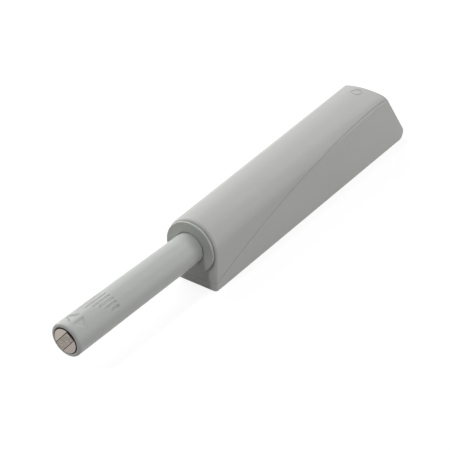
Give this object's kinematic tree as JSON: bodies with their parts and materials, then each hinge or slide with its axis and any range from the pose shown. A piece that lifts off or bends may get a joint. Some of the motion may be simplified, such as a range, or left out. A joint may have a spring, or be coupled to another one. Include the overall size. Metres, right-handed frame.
{
  "type": "push to open catch",
  "caption": "Push to open catch for a cabinet door: a sprung round plunger with a magnet tip in a slim two-shell plastic housing.",
  "frame": {"origin": "midway between the two screw holes, on the base's flat screwed face", "axes": "+Y along the plunger from its tip to the housing's rear, +Z away from the screwed face, +X across"},
  "size_m": [0.0142, 0.1413, 0.0207],
  "materials": {
    "housing_plastic": "fine matt moulded ABS, light grey",
    "barrel_plastic": "smooth matt acetal, light grey",
    "plunger_plastic": "smooth matt acetal, cool light grey",
    "inner_plastic": "natural white acetal",
    "magnet_nickel": "nickel-plated magnet, dull",
    "pole_steel": "plated mild steel, satin",
    "spring_steel": "drawn spring wire",
    "nut_brass": "turned brass",
    "stop_rubber": "soft black rubber"
  },
  "bodies": {
    "housing": {"housing_base": "housing_plastic", "housing_top": "housing_plastic", "barrel": "barrel_plastic", "end_cap": "inner_plastic", "catch_ring": "inner_plastic", "stop_ring": "stop_rubber"},
    "carriage": {"carriage": "inner_plastic", "rotor_clip": "spring_steel", "ejector_spring": "spring_steel"},
    "rotor": {"index_rotor": "inner_plastic"},
    "detent": {"detent_ring": "inner_plastic"},
    "plunger": {"plunger_sleeve": "plunger_plastic", "magnet": "magnet_nickel", "pole_plate_upper": "pole_steel", "pole_plate_lower": "pole_steel", "magnet_plug": "inner_plastic", "thread_nut": "nut_brass"}
  },
  "joints": [
    {"name": "plunger_travel", "type": "slide", "parent": "housing", "child": "carriage", "axis": [0, 1, 0], "range_m": [0, 0.0395], "stiffness_N_per_m": 100, "springref_m": -0.03, "deforming": ["ejector_spring"]},
    {"name": "rotor_turn", "type": "hinge", "parent": "carriage", "child": "rotor", "pos_m": [0, -0.0146, 0.0104], "axis": [0, 1, 0], "continuous": true},
    {"name": "tip_twist", "type": "hinge", "parent": "carriage", "child": "detent", "pos_m": [0, -0.0408, 0.0104], "axis": [0, -1, 0], "range_deg": [-360, 1440]},
    {"name": "tip_advance", "type": "slide", "parent": "detent", "child": "plunger", "axis": [0, -1, 0], "range_m": [-0.001, 0.004]}
  ],
  "couplings": [
    {"joint": "tip_twist", "follows": "tip_advance", "rad_per_m": 6283.2}
  ]
}
